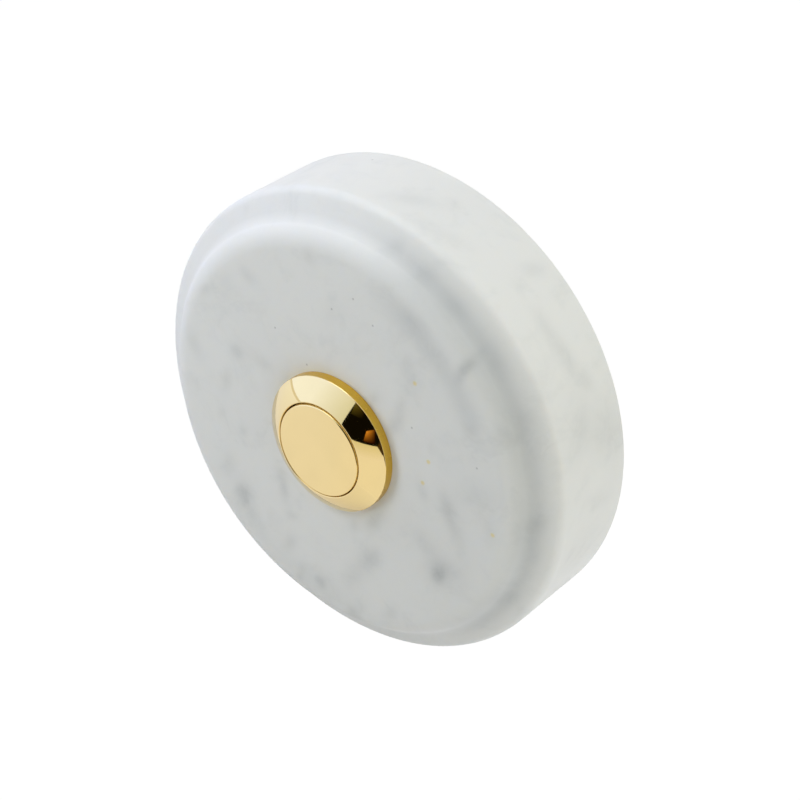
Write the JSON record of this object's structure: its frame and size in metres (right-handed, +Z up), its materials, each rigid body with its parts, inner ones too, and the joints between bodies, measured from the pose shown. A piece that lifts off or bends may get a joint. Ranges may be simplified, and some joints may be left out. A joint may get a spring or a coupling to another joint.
{
  "type": "doorbell push button",
  "caption": "Round white marble wall disc with a moulded edge and a gold bell push at its centre: a sprung button closes a hidden contact behind a conical bezel.",
  "frame": {"origin": "centre of the marble disc's back face, on the wall plane", "axes": "+Z up along the wall, the button faces -Y, +Y points into the wall, +X to the visitor's right"},
  "size_m": [0.075, 0.0237, 0.075],
  "materials": {
    "marble": "satin",
    "gold_bezel": "polished",
    "gold_button": "satin",
    "gold_nut": "satin",
    "seal_rubber": "matte",
    "spring_steel": "satin",
    "plated_steel": "satin",
    "contact_brass": "satin",
    "contact_silver": "satin",
    "black_moulding": "matte",
    "fibre": "matte"
  },
  "bodies": {
    "disc": {"marble_body": "marble", "switch_housing": "gold_bezel", "bezel_seal": "seal_rubber", "return_spring": "spring_steel", "terminal_left": "contact_brass", "terminal_right": "contact_brass", "fixed_contacts": "contact_silver", "switch_base": "black_moulding", "base_retainer": "plated_steel", "terminal_screws": "plated_steel", "wire_clamps": "contact_brass", "fibre_washer": "fibre", "lock_washer": "plated_steel", "hex_nut": "gold_nut"},
    "button": {"push_button": "gold_button", "button_seal": "seal_rubber", "retaining_clip": "plated_steel", "plunger": "black_moulding", "contact_spring": "spring_steel"},
    "bridge": {"contact_bridge": "contact_brass", "bridge_contacts": "contact_silver"}
  },
  "joints": [
    {"name": "button_press", "type": "slide", "parent": "disc", "child": "button", "axis": [0, 1, 0], "range_m": [0, 0.002], "stiffness_N_per_m": 750, "springref_m": -0.002, "deforming": ["return_spring", "contact_spring"]},
    {"name": "bridge_travel", "type": "slide", "parent": "disc", "child": "bridge", "axis": [0, 1, 0], "range_m": [0, 0.0015]}
  ],
  "couplings": [
    {"joint": "bridge_travel", "follows": "button_press", "ratio": 0.75}
  ]
}
